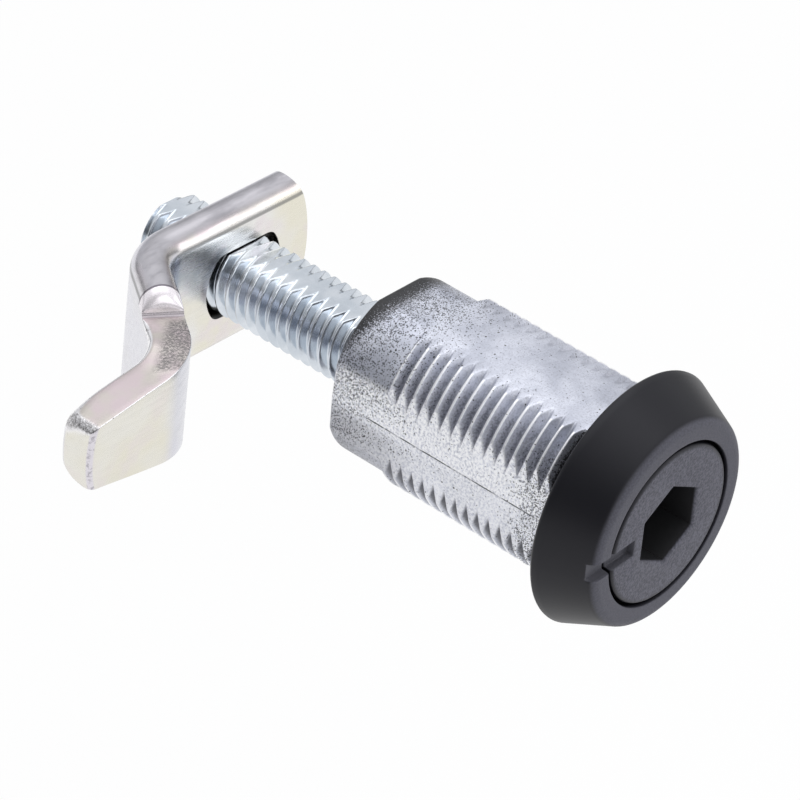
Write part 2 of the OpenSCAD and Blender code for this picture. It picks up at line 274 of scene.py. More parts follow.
def black_coat(name, sanded, edge, tones, grain, depth):
    """Black paint: smooth and dark, or paler and rough on the sanded face and in the index groove.

    The sanded face fades in between two levels of y and between two distances off the axis (edge).
    """
    g = Graph(bpy.data.materials.new(name))
    y, off_axis = g.axis("Y"), g.off_axis()
    across = g.math("ABSOLUTE", g.toward((math.sin(INDEX_DIR), 0, math.cos(INDEX_DIR))))
    along = g.toward((math.cos(INDEX_DIR), 0, -math.sin(INDEX_DIR)))
    floor = GROOVE_DEPTH - HEAD_H
    groove = g.times(
        g.ramp(along, GROOVE_IN - 0.15, GROOVE_IN), g.ramp(along, GROOVE_OUT + 0.2, GROOVE_OUT),
        g.ramp(across, GROOVE_HALF + 0.12, GROOVE_HALF - 0.02), g.ramp(y, floor + 0.2, floor + 0.08),
    )
    sand = g.most(g.times(g.ramp(y, *sanded), g.ramp(off_axis, *edge)), groove)
    fine = g.noise(grain, 3, 0.55)
    pits = g.noise(grain * 0.45, 2)
    smooth = g.mix(g.noise(220, 2), (0.004, 0.004, 0.0062, 1), (0.006, 0.006, 0.0088, 1))
    smooth = g.mix(g.ramp(off_axis, HEX_OUT + 0.2, HEX_OUT), smooth, (0.016, 0.016, 0.017, 1))
    rough = g.mix(g.ramp(fine, 0.3, 0.72), *[(t, t, t * 1.26, 1) for t in tones])
    rough = g.mix(groove, rough, (0.085, 0.085, 0.1, 1))
    relief = g.math("SUBTRACT", fine, g.ramp(pits, 0.64, 0.78))
    return g.set(
        Base_Color=g.mix(sand, smooth, rough), Roughness=g.ramp(sand, 0, 1, 0.42, 0.55),
        Normal=g.bump(g.times(relief, g.ramp(sand, 0, 1, 0.2, 1)), 0.8, depth),
        Specular_IOR_Level=0.36, Specular_Tint=(0.93, 0.93, 1, 1),
    )


def specks(g, scale, share, sizes):
    """Paint dots: a share of the cells of a pattern, each with its own size."""
    dots = g.add("ShaderNodeTexVoronoi", {"Vector": g.place, "Scale": scale})
    chance = g.add("ShaderNodeSeparateColor", {0: dots.outputs["Color"]})
    chosen = g.math("LESS_THAN", chance.outputs[0], share)
    size = g.ramp(chance.outputs[1], 0, 1, *sizes)
    return g.times(chosen, g.math("LESS_THAN", dots.outputs["Distance"], size))


def cast_zinc(name):
    """Bare die cast zinc, with paint mist from the head and from the rear end and a dark parting line. Also
    painted light: a sheen on the side flats, highlights on the crests, and shade in the thread hollows, next to
    the head and on the lower rear.
    """
    g = Graph(bpy.data.materials.new(name))
    y, z, off_axis = g.axis("Y"), g.axis("Z"), g.off_axis()
    aside, height = g.math("ABSOLUTE", g.axis("X")), g.math("ABSOLUTE", z)
    cloud, grain = g.noise(260, 3), g.noise(5200, 3, 0.65)

    # Metal, with a painted sheen in patches on the side flats, stronger above the parting line
    bare = g.mix(g.ramp(cloud, 0.3, 0.7), (0.52, 0.54, 0.62, 1), (0.71, 0.73, 0.815, 1))
    bare = g.mix(g.ramp(grain, 0.45, 0.75, 0, 0.6), bare, (0.32, 0.33, 0.37, 1))
    # Painted sheen: patches on the side flats, weaker below the parting line
    side = g.times(g.ramp(aside, 9.2, 9.55), g.ramp(g.noise(3300, 4, 0.65), 0.34, 0.6))
    bare = g.mix(g.times(side, g.ramp(z, -1.5, 1.0, 0.7, 1)), bare, (0.97, 0.975, 1.0, 1))

    # Thread: painted shade in its hollows, weaker near the top flat and darkest on the lower side, over sandy
    # grain, and painted highlights on its crests
    off_flat = g.ramp(g.most(aside, height), 9.62, 9.2)
    hollow = g.times(g.ramp(off_axis, 10.92, 10.45), off_flat, g.ramp(y, THREAD_END + 0.4, THREAD_END - 0.2))
    hollow_shade = g.times(hollow, g.ramp(z, 8.5, 6.9, 0.2, 1))
    # Painted shade: the hollows' colour is sandy grain that turns dark toward the lower side
    low = g.ramp(z, 1.0, -5.0)
    sandy = g.mix(g.ramp(g.noise(4300, 2), 0.4, 0.62), (0.52, 0.53, 0.60, 1), (0.16, 0.165, 0.19, 1))
    valley = g.mix(low, sandy, (0.09, 0.09, 0.10, 1))
    bare = g.mix(g.times(hollow_shade, g.ramp(low, 0, 1, 0.6, 0.85)), bare, valley)
    # Painted highlight along the thread's crests
    crest = g.times(g.ramp(off_axis, 10.86, 10.97), off_flat, g.ramp(y, RELIEF_END, RELIEF_END + 0.6))
    bare = g.mix(crest, bare, (0.95, 0.955, 0.98, 1))
    # Painted shade on the lower rear of the barrel
    low_rear_shade = g.times(g.ramp(z, 0.3, -2.0), g.ramp(y, 17, 28), 0.55)
    bare = g.mix(low_rear_shade, bare, (0.30, 0.30, 0.33, 1))

    # Paint: mist and drops from both ends, dust on the rear edge and dirt in the parting line. Painted shade,
    # broken up by dust, in the relief and thread hollows next to the head
    drift = g.ramp(g.noise(130, 2), 0.3, 0.7, -0.1, 0.1)
    rear = g.ramp(g.math("MULTIPLY_ADD", z, 0.2, third=y), 16.3, 31.4)
    front = g.times(g.ramp(y, 8.5, 4.0), g.ramp(z, 9, 4, 0.1, 1))
    thick = g.math("ADD", g.most(rear, front), drift, clamp=True)
    share = g.math("MULTIPLY_ADD", g.times(thick, thick), 0.85, third=0.02)
    mist = g.times(specks(g, 6200, share, (0.3, 0.58)), 0.9)
    drops = specks(g, 3000, g.math("MULTIPLY_ADD", thick, 0.09, third=0.012), (0.16, 0.36))
    dust = g.noise(8500, 2)
    edge = g.ramp(g.math("MULTIPLY_ADD", z, 0.5, third=y), 28.6, 36.6)
    behind = g.ramp(g.math("ADD", edge, dust), 1.12, 1.3)
    # Painted shade in the relief and the thread hollows next to the head
    shade_by_head = g.ramp(g.math("ADD", g.times(g.ramp(y, 3.4, 1.6), hollow), dust), 1.15, 1.25)
    seam = g.times(
        g.ramp(height, 0.1, 0.03), g.ramp(aside, 9.4, 9.6), g.ramp(y, SEAM_END - 0.1, SEAM_END - 0.9),
        g.ramp(g.noise(700, 2), 0.36, 0.6),
    )
    paint = g.times(g.most(mist, drops, behind, seam, shade_by_head), g.ramp(off_axis, 9.0, 9.5))
    under = g.bump(cloud, 0.5, 0.25, g.bump(grain, 0.4, 0.03))
    return g.set(
        Base_Color=g.mix(paint, bare, (0.012, 0.012, 0.015, 1)),
        Metallic=g.ramp(paint, 0, 1, 0.8, 0.0),
        Roughness=g.ramp(grain, 0.3, 0.75, 0.34, 0.55),
        Normal=g.bump(paint, 0.2, 0.02, under),
    )


def plated(name, light, dark, rough=(0.14, 0.26), grain=900, stretch=None):
    """Zinc plated or plain steel with soft clouds and fine drawn or rolled texture."""
    g = Graph(bpy.data.materials.new(name))
    cloud = g.noise(300, 3)
    fine = g.noise(grain, 4, 0.6, stretch)
    return g.set(
        Base_Color=g.mix(g.ramp(cloud, 0.3, 0.7), light, dark), Metallic=1.0,
        Roughness=g.ramp(fine, 0.3, 0.7, *rough), Normal=g.bump(fine, 0.25, 0.02),
    )


def pawl_steel(name):
    """Zinc plate with the cream, pink and lavender tints of its passivation, and torn sheared edges. Also
    painted light: shade in the hole, a dark reflection line along the plate's upper edge, and the shoulder's
    highlight and shade.
    """
    g = Graph(bpy.data.materials.new(name))
    upward, facing, sideways = [g.axis(a, g.where["Normal"]) for a in "ZYX"]
    x, z, off_axis = g.axis("X"), g.axis("Z"), g.off_axis()
    up, height = g.math("ABSOLUTE", upward), g.math("ABSOLUTE", z)
    web = g.toward(WEB_WAY)
    cloud, tint = g.noise(120, 2), g.noise(260, 2)
    streaks = g.noise(900, 3, 0.6, (0.15, 0.6, 1.0))

    # Faces cream, lavender where the web turns away. Edges pink, or grey along the plate
    cream = g.mix(g.ramp(cloud, 0.38, 0.62), (0.80, 0.77, 0.66, 1), (0.82, 0.81, 0.79, 1))
    cream = g.mix(g.ramp(tint, 0.5, 0.68, 0, 0.7), cream, (0.79, 0.73, 0.75, 1))
    cream = g.mix(g.ramp(x, -20, -25, 0, 0.35), cream, (0.76, 0.735, 0.62, 1))
    turned = g.times(g.ramp(sideways, 0.0, 0.3), g.ramp(facing, 0.0, -0.2), 0.8)
    cream = g.mix(turned, cream, (0.66, 0.67, 0.75, 1))
    pink = g.mix(g.ramp(tint, 0.38, 0.62), (0.58, 0.50, 0.52, 1), (0.56, 0.525, 0.49, 1))
    grey = g.mix(g.ramp(streaks, 0.35, 0.65), (0.40, 0.39, 0.42, 1), (0.58, 0.565, 0.60, 1))
    pink = g.mix(g.ramp(height, 7.9, 8.6), pink, grey)
    colour = g.mix(g.ramp(up, 0.25, 0.8), cream, pink)
    colour = g.mix(g.ramp(facing, 0.2, 0.6, 0, 0.8), colour, (0.70, 0.70, 0.77, 1))

    # Painted shade in the hole, darkest toward its top, and a painted dark reflection line along the plate's
    # upper edge
    hole_shade = g.times(g.ramp(g.math("ABSOLUTE", facing), 0.6, 0.2), g.ramp(off_axis, HOLE_R + 0.45, HOLE_R + 0.25))
    # Painted shade: colours for the inside of the hole
    inside = g.mix(g.ramp(z, -1, -3), (0.03, 0.03, 0.028, 1), (0.14, 0.13, 0.11, 1))
    colour = g.mix(hole_shade, colour, inside)
    # Painted reflection: a dark line where the plate's upper round meets its front face
    rim = g.times(g.ramp(upward, 0.12, 0.2), g.ramp(upward, 0.4, 0.28), g.ramp(height, 6.4, 6.5), 0.75)
    colour = g.mix(rim, colour, (0.2, 0.2, 0.2, 1))

    # Domed shoulder: a painted highlight on the half moon, a painted dark outline above it and painted shade
    # over its foot
    dome, foot = WEB_START + SHOULDER_S - DOME, WEB_START + SHOULDER_S
    dome_highlight = g.times(g.ramp(web, dome, dome + 0.15), g.ramp(height, 6.15, 6.4))
    colour = g.mix(dome_highlight, colour, (0.96, 0.91, 0.95, 1))
    # Painted shade: the dark outline above the dome
    outline = g.times(g.ramp(web, dome - 0.3, dome - 0.2), g.ramp(web, dome + 0.1, dome))
    outline = g.times(outline, g.ramp(height, 6.4, 6.5), 0.8)
    colour = g.mix(outline, colour, (0.16, 0.14, 0.17, 1))
    # Painted shade over the fillet at the dome's foot
    line = g.times(g.ramp(web, foot - 0.1, foot), g.ramp(web, foot + 0.5, foot + 0.4), g.ramp(up, 0.2, 0.4))
    colour = g.mix(line, colour, (0.36, 0.33, 0.35, 1))

    # Worn edges of the arm and of its tip
    ridge = g.times(g.ramp(upward, 0.12, 0.3), g.ramp(upward, 0.97, 0.85), g.ramp(web, foot + 0.5, foot + 0.8))
    nicks = g.mix(g.ramp(g.noise(2300, 2), 0.6, 0.72), (0.93, 0.92, 0.94, 1), (0.36, 0.34, 0.35, 1))
    colour = g.mix(ridge, colour, nicks)
    tip_edge = g.times(g.ramp(sideways, -0.1, -0.4), g.ramp(facing, -0.1, -0.4), g.ramp(x, -34, -35))
    worn = g.mix(g.ramp(g.noise(1900, 3, 0.6), 0.5, 0.66), (0.74, 0.71, 0.76, 1), (0.46, 0.44, 0.48, 1))
    colour = g.mix(tip_edge, colour, worn)

    # Torn grain on the sheared edge and at the burr
    torn = g.ramp(up, 0.8, 0.97)
    for angle, low, high, fade in TEAR:
        along = g.toward((math.cos(angle), math.sin(angle), 0))
        torn = g.times(torn, g.ramp(along, low, low + fade), g.ramp(along, high, high - fade))
    burr = g.times(g.ramp(x, 1.5 - ARM_REACH, 0.9 - ARM_REACH), g.ramp(upward, 0.2, 0.4), 0.75)
    torn = g.most(torn, burr)
    tear = g.noise(3600, 3, 0.65)
    colour = g.mix(g.times(torn, g.ramp(tear, 0.34, 0.6, 0.2, 0.9)), colour, (0.2, 0.19, 0.19, 1))
    fine = g.noise(2600, 3, 0.55, (0.12, 0.5, 1.0))
    rough = g.ramp(fine, 0.3, 0.7, 0.18, 0.3)
    return g.set(
        Base_Color=colour, Metallic=g.ramp(dome_highlight, 0, 1, 1.0, 0.5),
        Roughness=g.math("MULTIPLY_ADD", g.ramp(up, 0.65, 0.9), 0.12, third=rough),
        Normal=g.bump(g.times(torn, tear), 0.8, 0.12, g.bump(fine, 0.15, 0.015)),
    )


def rubber(name):
    g = Graph(bpy.data.materials.new(name))
    fine = g.noise(3000, 3)
    colour = g.mix(fine, (0.012, 0.012, 0.012, 1), (0.03, 0.03, 0.03, 1))
    rough = g.ramp(fine, 0.3, 0.7, 0.55, 0.75)
    return g.set(Base_Color=colour, Roughness=rough, Normal=g.bump(fine, 0.3, 0.01))


HEAD_COAT = black_coat(
    "head_coat", sanded=(-5.85, -6.35), edge=(9.5, 9.7), tones=(0.062, 0.086), grain=4600, depth=0.025,
)
PLUG_COAT = black_coat(
    "plug_coat", sanded=(-6.15, -6.42), edge=(9.15, 8.5), tones=(0.055, 0.122), grain=3800, depth=0.08,
)
ZINC = cast_zinc("cast_zinc")
SPINDLE_STEEL = plated("spindle_steel", (0.74, 0.78, 0.83, 1), (0.60, 0.65, 0.71, 1))
PAWL_STEEL = pawl_steel("pawl_steel")


# Housing: one closed skin, from the head's face over rim, thread and rear end and back through the bores

def housing_rings():
    def rolled(y):
        edge = max(0.0, y - (BARREL_LEN - REAR_EDGE_R)) / REAR_EDGE_R
        return REAR_EDGE_R * (1 - math.sqrt(max(0.0, 1 - edge * edge)))

    def outside(y, turn):
        """Radius of relief, thread and pilot without the flats. Next to the flats the grooves are shallower."""
        upright = np.abs(np.sin(turn))
        far = smooth_step(-0.3, 0.3, np.cos(turn))
        valley = 0.02 + (0.05 + 0.15 * far) * smooth_step(0.6, 0.86, upright)
        root = BARREL_ROOT_R + (0.45 - 0.27 * far) * smooth_step(0.8, 0.92, upright)
        screw = thread_radius(y + THREAD_SHIFT, turn, root, BARREL_R, 0.08, valley, 0.12)
        end = THREAD_END + FAR_THREAD * far
        into_pilot = smooth_step(end - 0.35, end + 0.25, y)
        round_r = screw * (1 - into_pilot) + (PILOT_R - FAR_PILOT * far - rolled(y)) * into_pilot
        relief = smooth_step(RELIEF_END, RELIEF_END - 0.5, y)
        return round_r * (1 - relief) + RELIEF_R * relief

    rows = []
    count = 120

    def head_turns(radius):
        """Columns of the head, close together at the index groove."""
        lanes = np.array([0.4, 0.75, 0.9, 0.97, 1.03, 1.1, 1.5])
        aside = np.arcsin(np.minimum(lanes / radius, 0.99))
        close = np.concatenate([-aside[::-1], [0.0], aside])
        rest = np.linspace(aside[-1], TAU - aside[-1], count - len(close) + 2)[1:-1]
        order = (np.arange(count) + count // 2 - len(lanes)) % count
        turn = np.empty(count)
        turn[order] = INDEX_DIR + np.concatenate([close, rest])
        return turn

    def head_row(radius, y):
        turn = head_turns(radius)
        aside = np.abs(radius * np.sin(turn - INDEX_DIR))
        near = (np.cos(turn - INDEX_DIR) > 0) * smooth_step(GROOVE_HALF + 0.07, GROOVE_HALF - 0.07, aside)
        floor = GROOVE_DEPTH - HEAD_H
        rows.append(polar(radius, y + np.maximum(0, floor - y) * near, turn))

    inner_turn = np.arange(count) * TAU / count
    in_pocket = np.zeros(count)
    for start, end in np.radians(POCKETS):
        for edge in (start, end):
            j = math.floor(edge / TAU * count)
            inner_turn[j % count] = edge - 0.002 + (TAU if j < 0 else 0)
            inner_turn[(j + 1) % count] = edge + 0.002 + (TAU if j + 1 < 0 else 0)
        first, last = math.floor(start / TAU * count) + 1, math.floor(end / TAU * count)
        in_pocket[np.arange(first, last + 1) % count] = 1

    def inner_row(radius, y, pocket=False):
        rows.append(polar(np.where(in_pocket == 1, POCKET_R, radius) if pocket else radius, y, inner_turn))

    slope = math.atan2(HEAD_H - RIM_R, HEAD_R - FACE_R)
    face_r = FACE_R - FACE_EDGE_R * math.tan(slope / 2)
    for y in (-5.0, -5.2):
        head_row(PLUG_BORE_R, y)
    for y in (-5.35, -5.7, -6.1, -6.42):
        head_row(MOUTH_R, y)
    head_row(MOUTH_R + 0.03, -HEAD_H + 0.03)
    for radius in (MOUTH_R + 0.1, 9.95, 10.3, 10.8, face_r):
        head_row(radius, -HEAD_H)
    for a in np.linspace(0, slope, 9)[1:]:
        head_row(face_r + FACE_EDGE_R * math.sin(a), FACE_EDGE_R * (1 - math.cos(a)) - HEAD_H)
    top_r, top_y = face_r + FACE_EDGE_R * math.sin(slope), FACE_EDGE_R * (1 - math.cos(slope)) - HEAD_H
    for t in np.concatenate([np.linspace(0, 0.2, 11)[1:], np.linspace(0.2, 1, 8)[1:]]):
        head_row(top_r + (HEAD_R - 0.01 - top_r) * t, top_y + (-RIM_R - top_y) * t)
    for a in np.linspace(0, math.pi / 2, 6)[1:]:
        head_row(HEAD_R - 0.01 - RIM_R * (1 - math.cos(a)), -RIM_R + RIM_R * math.sin(a))
    head_row(SEAT_MID_R, 0.0)

    fine = PITCH / 22
    levels = np.concatenate([
        [0.0, 0.12], np.arange(0.25, THREAD_END + 1.5, fine), np.arange(THREAD_END + 1.8, 30.5, 0.6),
        BARREL_LEN - REAR_EDGE_R * (1 - np.sin(np.linspace(0, math.pi / 2, 8))),
    ])
    for y in levels:
        crown = CROWN * smooth_step(26.5, 23.5, y)
        radius, turn = flatted_ring(
            y, outside, BARREL_FLAT - rolled(y), (DRAFT, 0.0, DRAFT, 0.0), 0.0, 8, crown,
        )
        seam = np.abs(radius * np.sin(turn))
        flash = SEAM_DEPTH * smooth_step(SEAM_HALF, 0.02, seam) * smooth_step(SEAM_END, SEAM_END - 1.3, y)
        rows.append(polar(radius - flash, y, turn))
    inner_row(9.2, BARREL_LEN)
    inner_row(GUIDE_BORE_R + 0.15, BARREL_LEN, True)
    inner_row(GUIDE_BORE_R, BARREL_LEN - 0.15, True)
    for y, radii in zip(RING_GROOVE_Y, ((GUIDE_BORE_R, RING_GROOVE_R), (RING_GROOVE_R, GUIDE_BORE_R))):
        for radius in radii:
            inner_row(radius, y, True)
    inner_row(GUIDE_BORE_R, POCKET_FLOOR + 0.01, True)
    inner_row(GUIDE_BORE_R, POCKET_FLOOR)
    for y, radii in zip(LEDGE_Y, ((GUIDE_BORE_R, SHANK_BORE_R), (SHANK_BORE_R, PLUG_BORE_R))):
        for radius in radii:
            inner_row(radius, y)
    inner_row(PLUG_BORE_R, BORE_MID)
    return np.array(rows)


rings = housing_rings()
housing = new_piece(
    "housing_skin", rings.reshape(-1, 3), ring_faces(*rings.shape[:2], loop=True),
    "housing", "housing", [HEAD_COAT, ZINC], 38,
)
for face in housing.data.polygons:
    highest = max(housing.data.vertices[v].co.y for v in face.vertices)
    face.material_index = int(face.center.y > 0.0001 * MM and highest > 0.05 * MM)


# Spindle: screw with two flats

def spindle_rings():
    def outside(y, turn):
        screw = thread_radius(y, turn, SPINDLE_ROOT_R, SPINDLE_R, 0.1, 0.16, 0.1)
        plain = smooth_step(SCREW_FULL, SCREW_START, y)
        tip = SPINDLE_R - SPINDLE_CHAMFER + (SPINDLE_END - y)
        return np.minimum(screw * (1 - plain) + SPINDLE_R * plain, tip)

    levels = np.concatenate([
        np.linspace(SPINDLE_SHOULDER, SCREW_START, 4),
        np.arange(SCREW_START + 0.05, SPINDLE_END - 0.8, PITCH / 24),
        np.linspace(SPINDLE_END - 0.75, SPINDLE_END, 10),
    ])
    rows = []
    for y in levels:
        radius, turn = flatted_ring(y, outside, SPINDLE_FLAT, (0.0, 0.0), math.pi / 2, 12)
        rows.append(polar(radius, y, turn))
    plain = flatted_ring(SPINDLE_SHOULDER, outside, SPINDLE_FLAT, (0.0, 0.0), math.pi / 2, 12)[1]
    head = [polar(SPINDLE_R, y, plain) for y in (SPINDLE_FRONT, 17.0, SPINDLE_SHOULDER)]
    return np.array(head + rows)


rings = spindle_rings()
new_piece(
    "spindle_screw", rings.reshape(-1, 3), ring_faces(*rings.shape[:2], caps=True),
    "spindle", "spindle", SPINDLE_STEEL, 38,
)


# Pawl: a strip swept along its joggle, with sheared arm edges

def strip_path():
    """Points of the strip's front face, its directions to the back, and the length along the web."""
    web = (JOGGLE - (PLATE_BEND_R + ARM_BEND_R + STRIP_T) * (1 - math.cos(BEND))) / math.sin(BEND)
    stations = [((x, PAWL_Y), math.pi / 2, -1.0) for x in np.linspace(PLATE_END, -BEND_X, 26)]
    centre = np.array([-BEND_X, PAWL_Y - PLATE_BEND_R])
    for a in np.linspace(0, BEND, 15)[1:]:
        way = math.pi / 2 + a
        stations.append((centre + PLATE_BEND_R * np.array([math.cos(way), math.sin(way)]), way, 0.0))
    start, way = np.array(stations[-1][0]), math.pi / 2 + BEND
    back = np.array([math.cos(way), math.sin(way)])
    along = np.array([-math.sin(way), math.cos(way)])
    fillet = SHOULDER_S + SHOULDER_R * (1 - np.cos(np.linspace(0, math.pi / 2, 9)))
    steps = np.concatenate([
        np.linspace(0, SHOULDER_S - DOME - 0.06, 8)[1:],
        SHOULDER_S - DOME + DOME * np.sin(np.linspace(0, math.pi / 2, 13)), fillet[1:],
        np.linspace(SHOULDER_S + SHOULDER_R, web, 7)[1:],
    ])
    for s in steps:
        stations.append((start + along * s, way, s))
    centre = start + along * web + back * (STRIP_T + ARM_BEND_R)
    for a in np.linspace(BEND, 0, 15)[1:]:
        way = math.pi / 2 + a
        toward = np.array([math.cos(way), math.sin(way)])
        stations.append((centre - (STRIP_T + ARM_BEND_R) * toward, way, web))
    last = stations[-1][0]
    run_out = -ARM_REACH + TIP_RUN * (1 - np.sin(np.linspace(0, math.pi / 2, 14)[1:]))
    tip = np.concatenate([np.linspace(last[0], -ARM_REACH + TIP_RUN, 14)[1:], run_out])
    for x in tip:
        stations.append((np.array([x, last[1]]), math.pi / 2, web))
    return stations, web


def corner(middle, radius, start, end, count=7):
    a = np.linspace(start, end, count)
    return np.stack([middle[0] - radius[0] * np.cos(a), middle[1] + radius[1] * np.sin(a)], -1)


def quarter_drop(radius, distance):
    """How far a rounded edge falls at a distance from its end."""
    return radius - math.sqrt(max(0.0, radius ** 2 - max(0.0, radius - distance) ** 2))


def strip_section(half, sheared, corners, depths):
    """Half of a section, from the middle of the front face over the upper edge to the middle of the back.

    The edge is a full round where sheared is 0 and has two small corners where it is 1.
    """
    (front_r, back_r), (front, back) = corners, depths
    r = STRIP_T / 2
    flat_half = min(half, STRIP_HALF - r)
    a = np.linspace(0, math.pi, 19)
    whole = np.stack([r - r * np.cos(a), flat_half + (half - flat_half) * np.sin(a)], -1)
    lead = corner((front + front_r, half - front_r), (front_r, front_r), 0, math.pi / 2)
    trail = corner((back - back_r, half - back_r), (back_r, back_r), math.pi / 2, math.pi)
    across = lead[-1] + (trail[0] - lead[-1]) * np.linspace(0, 1, 7)[1:-1, None]
    edge = whole + (np.concatenate([lead, across, trail]) - whole) * sheared
    face = np.stack([np.full(9, edge[0, 0]), np.linspace(0, edge[0, 1], 10)[:-1]], -1)
    rear = np.stack([np.full(9, edge[-1, 0]), np.linspace(edge[-1, 1], 0, 10)[1:]], -1)
    return np.concatenate([face, edge, rear])


def pawl_rings():
    stations, web = strip_path()
    arm_start = SHOULDER_S + SHOULDER_R
    taper_start = BEND_X + arm_start * math.cos(BEND) + (PLATE_BEND_R + STRIP_T) * math.sin(BEND)
    taper = (ARM_HALF - TIP_HALF) / (ARM_REACH - taper_start)
    rows = []
    for front, way, s in stations:
        x = front[0]
        on_arm = s > SHOULDER_S
        to_tip = x + ARM_REACH if on_arm else math.inf
        if on_arm:
            half = ARM_HALF + quarter_drop(SHOULDER_R, SHOULDER_R - max(0.0, arm_start - s))
            half = min(half, ARM_HALF - taper * (-x - taper_start)) if -x > taper_start else half
        else:
            lean = 0.35 + 0.65 * max(0.0, s - SHOULDER_S + DOME) / DOME
            fall = 1 - math.sqrt(max(0.0, 1 - lean ** 2)) / math.sqrt(1 - 0.35 ** 2)
            half = STRIP_HALF - DOME_DROP * max(0.0, fall)
        grown = smooth_step(arm_start - 0.3, arm_start + 1.5, s)
        near_tip = max(0.0, 1 - to_tip / 5) ** 2
        sheared = smooth_step(SHOULDER_S, arm_start, s)
        corners = (0.02 + 0.1 * grown, 0.02 + 0.75 * grown + 1.4 * near_tip)
        depths = (quarter_drop(TIP_FRONT_R, to_tip), STRIP_T - quarter_drop(TIP_BACK_R, to_tip))
        upper = strip_section(half - quarter_drop(BURR_R, to_tip), sheared, corners, depths)
        lower = strip_section(half, sheared, corners, depths)[1:-1][::-1] * np.array([1, -1])
        outline = np.concatenate([upper, lower])
        depth, z = outline[:, 0], outline[:, 1]
        px = front[0] + math.cos(way) * depth
        py = front[1] + math.sin(way) * depth
        if x > 0:
            px = px - (PLATE_END_R - np.sqrt(PLATE_END_R ** 2 - z ** 2)) * smooth_step(1.0, PLATE_END, x)
        if to_tip < 8:
            px = px + (TIP_END_R - np.sqrt(TIP_END_R ** 2 - z ** 2)) * smooth_step(8, 0, to_tip)
        rows.append(np.stack([px, py, z], -1))
    return np.array(rows)


def section_cap(base, sides):
    """Faces across an end of the strip, each from the front face to the back at one height."""
    upper = sides // 2
    faces = []
    for k in range(upper // 2):
        quad = [k, k + 1, upper - k - 1, upper - k]
        quad = quad if quad[1] != quad[2] else quad[:2] + quad[3:]
        faces.append([base + i for i in quad])
        faces.append([base + (sides - i) % sides for i in quad[::-1]])
    return faces


def hole_cutter():
    """Double-D punch through the plate, a little wider at its mouth."""
    turn = np.linspace(0, TAU, 145)[:-1]
    rows = []
    mouth = [(-1, HOLE_EDGE), (-0.02, HOLE_EDGE), (HOLE_EDGE, 0)]
    for y, wider in mouth + [(STRIP_T - y, wider) for y, wider in reversed(mouth)]:
        points = polar(HOLE_R + wider, PAWL_Y + y, turn)
        points[:, 2] = np.sign(points[:, 2]) * smooth_min(np.abs(points[:, 2]), HOLE_FLAT + wider, 0.8)
        rows.append(points)
    return np.array(rows)


def plain_object(name, rings, faces):
    """A closed object through rings in millimetres, for the cut."""
    mesh = bpy.data.meshes.new(name)
    mesh.from_pydata((rings.reshape(-1, 3) * MM).tolist(), [], faces)
    face_outward(mesh)
    thing = bpy.data.objects.new(name, mesh)
    bpy.context.scene.collection.objects.link(thing)
    return thing


rings = pawl_rings()
count, sides = rings.shape[:2]
faces = ring_faces(count, sides) + section_cap(0, sides) + section_cap((count - 1) * sides, sides)
blank = plain_object("pawl_blank", rings, faces)
rings = hole_cutter()
punch = plain_object("punch", rings, ring_faces(*rings.shape[:2], caps=True))
cut = blank.modifiers.new("hole", "BOOLEAN")
cut.object, cut.operation, cut.solver = punch, "DIFFERENCE", "EXACT"
punched = bpy.data.meshes.new_from_object(blank.evaluated_get(bpy.context.evaluated_depsgraph_get()))
bpy.data.objects.remove(blank)
bpy.data.objects.remove(punch)
place("pawl_strip", punched, "pawl", "pawl", PAWL_STEEL, 40)


# Plug: the CAD shape with its front edges rounded

def front_edges(work, inside):
    """Sharp edges of the plug's front, those of the hex mouth or the others."""
    found = []
    for e in work.edges:
        if len(e.link_faces) == 2 and e.calc_face_angle() > math.radians(35):
            hexagon = max(math.hypot(v.co.x, v.co.z) for v in e.verts) < 4.9 * MM
            level = min(v.co.y for v in e.verts) if hexagon else max(v.co.y for v in e.verts)
            across = abs(e.verts[0].co.y - e.verts[1].co.y) < 1e-6
            if hexagon == inside and level < -5.0 * MM and (across or not hexagon):
                found.append(e)
    return found


work = bmesh.new()
work.from_mesh(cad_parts["drive_plug"].data)
bmesh.ops.remove_doubles(work, verts=work.verts, dist=1e-6)
bmesh.ops.dissolve_limit(work, angle_limit=math.radians(0.5), verts=work.verts, edges=work.edges)
for inside, width in ((True, HEX_BEVEL), (False, PLUG_BEVEL)):
    bmesh.ops.bevel(
        work, geom=front_edges(work, inside), offset=width * MM, offset_type="OFFSET",
        segments=3, profile=0.5, affect="EDGES", clamp_overlap=True,
    )
plug_mesh = bpy.data.meshes.new("plug_body")
work.to_mesh(plug_mesh)
work.free()
place("plug_body", plug_mesh, "plug", "drive_plug", PLUG_COAT, 40)


# Return spring, which in the latch is squeezed as the spindle is drawn in; here a fixed coil that rides with
# the plug

def spring_rings():
    wire, coil, low, high, turns, steps = 0.45, 4.0, 1.5 + 0.53, 13.5 - 0.53, 5, 30
    rows = []
    for i in range(turns * steps + 1):
        a, y = -TAU * i / steps, high + (low - high) * i / (turns * steps)
        ring = np.arange(10) * TAU / 10
        rows.append(polar(coil + wire * np.cos(ring), y + wire * np.sin(ring), a))
    return np.array(rows)


rings = spring_rings()
WIRE = plated("spring_wire", (0.55, 0.57, 0.60, 1), (0.42, 0.44, 0.47, 1), (0.25, 0.4), 2600)
spring = new_piece(
    "spring_coil", rings.reshape(-1, 3), ring_faces(*rings.shape[:2], caps=True),
    "plug", "return_spring", WIRE, 60,
)
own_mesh(spring)

